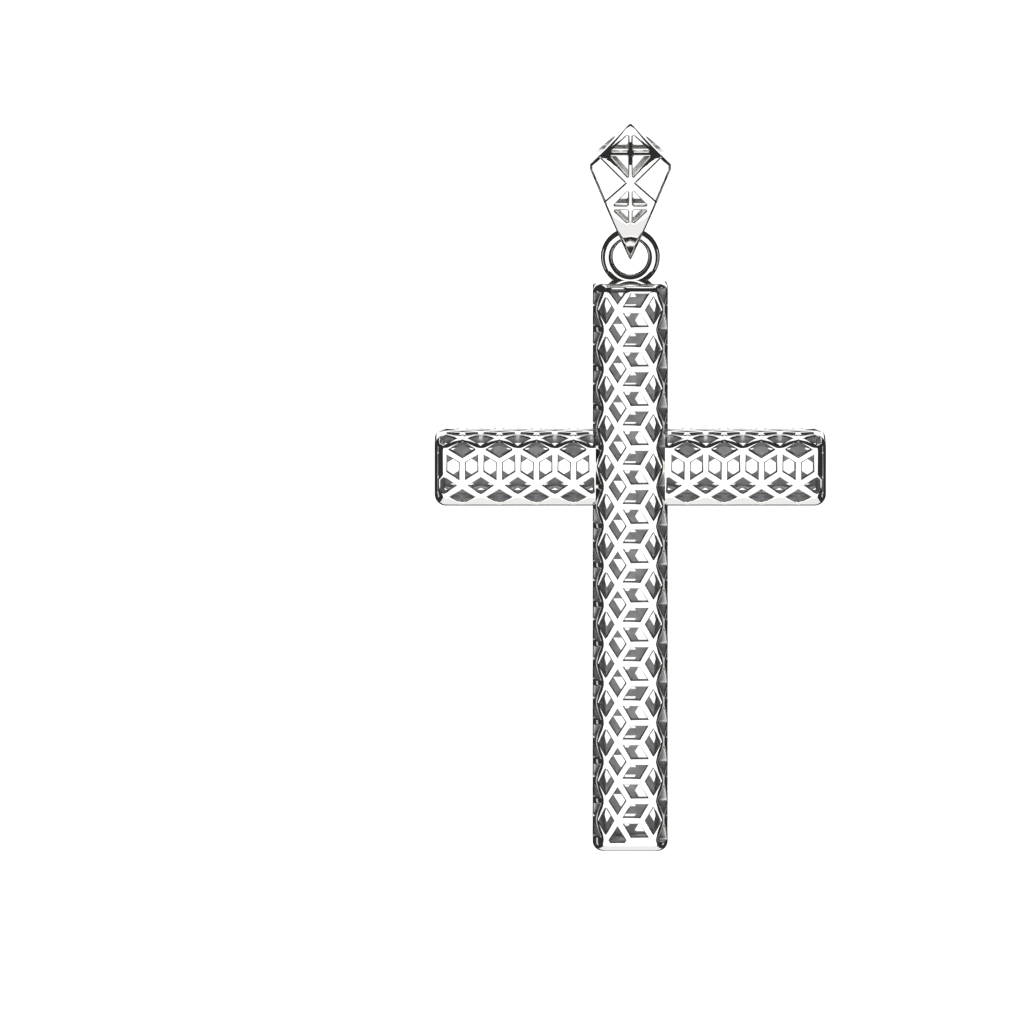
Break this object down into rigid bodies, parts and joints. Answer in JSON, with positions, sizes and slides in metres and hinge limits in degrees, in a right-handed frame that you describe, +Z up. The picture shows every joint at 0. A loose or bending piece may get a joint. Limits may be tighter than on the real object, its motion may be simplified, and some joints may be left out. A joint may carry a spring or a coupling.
{
  "type": "cross pendant",
  "caption": "Hollow cross pendant pierced all over in a tumbling-blocks lattice, with a wire loop on top that swings in a faceted, pierced bail.",
  "frame": {"origin": "the top of the bail's hole, where the chain bears, in the middle of the pendant's width and depth", "axes": "+X along the arms, which is also the way that a chain runs through the bail; +Y from the front of the pendant to its back; +Z up along the upright"},
  "size_m": [0.0344, 0.008, 0.0641],
  "materials": {
    "bail_metal": "polished silver",
    "cross_metal": "polished silver"
  },
  "bodies": {
    "bail": {"bail": "bail_metal"},
    "cross": {"cross": "cross_metal"}
  },
  "joints": [
    {"name": "swing", "type": "hinge", "parent": "bail", "child": "cross", "pos_m": [0, 0, -0.00857], "axis": [1, 0, 0], "range_deg": [-75, 75]}
  ]
}
